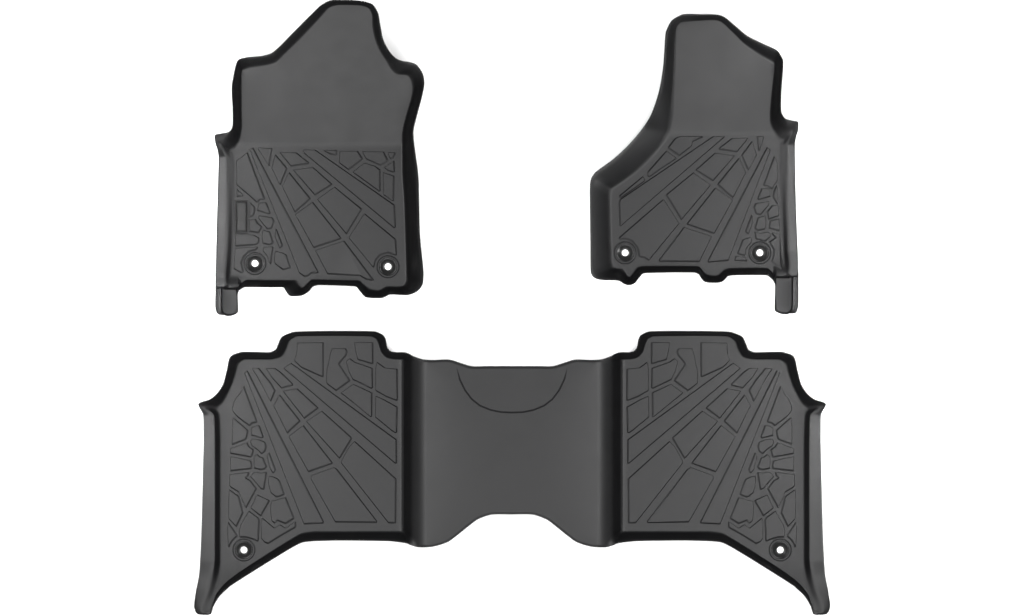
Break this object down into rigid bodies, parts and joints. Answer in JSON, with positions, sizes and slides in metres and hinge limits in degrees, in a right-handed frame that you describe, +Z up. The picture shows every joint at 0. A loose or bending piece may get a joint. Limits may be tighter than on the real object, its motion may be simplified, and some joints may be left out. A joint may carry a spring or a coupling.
{
  "type": "floor mat set",
  "caption": "All-weather moulded rubber floor mat set for a crew cab truck: left and right front mats with toe boards and a one-piece rear mat with a raised tunnel hump.",
  "frame": {"origin": "on the floor under the middle of the whole set, with the mats laid out as they lie in the cab", "axes": "+Y to the front of the truck, +X to its right, +Z up"},
  "size_m": [1.558, 1.5023, 0.1341],
  "materials": {
    "moulded_rubber": "satin moulded thermoplastic rubber with a fine grain",
    "hard_plastic": "satin moulded nylon",
    "plate": "satin moulded plate with a raised frame, blank"
  },
  "bodies": {
    "rear": {"rear_mat": "moulded_rubber", "rear_left_eyelet": "hard_plastic", "rear_left_lock_ring": "hard_plastic", "rear_right_eyelet": "hard_plastic", "rear_right_lock_ring": "hard_plastic"},
    "front_left": {"front_left_mat": "moulded_rubber", "name_plate": "plate", "front_left_outer_eyelet": "hard_plastic", "front_left_outer_lock_ring": "hard_plastic", "front_left_inner_eyelet": "hard_plastic", "front_left_inner_lock_ring": "hard_plastic"},
    "front_right": {"front_right_mat": "moulded_rubber", "front_right_inner_eyelet": "hard_plastic", "front_right_inner_lock_ring": "hard_plastic", "front_right_outer_eyelet": "hard_plastic", "front_right_outer_lock_ring": "hard_plastic"}
  },
  "joints": [
    {"name": "front_left_lift", "type": "slide", "parent": "rear", "child": "front_left", "axis": [0, 0, 1], "range_m": [0, 0.35]},
    {"name": "front_right_lift", "type": "slide", "parent": "rear", "child": "front_right", "axis": [0, 0, 1], "range_m": [0, 0.35]}
  ]
}
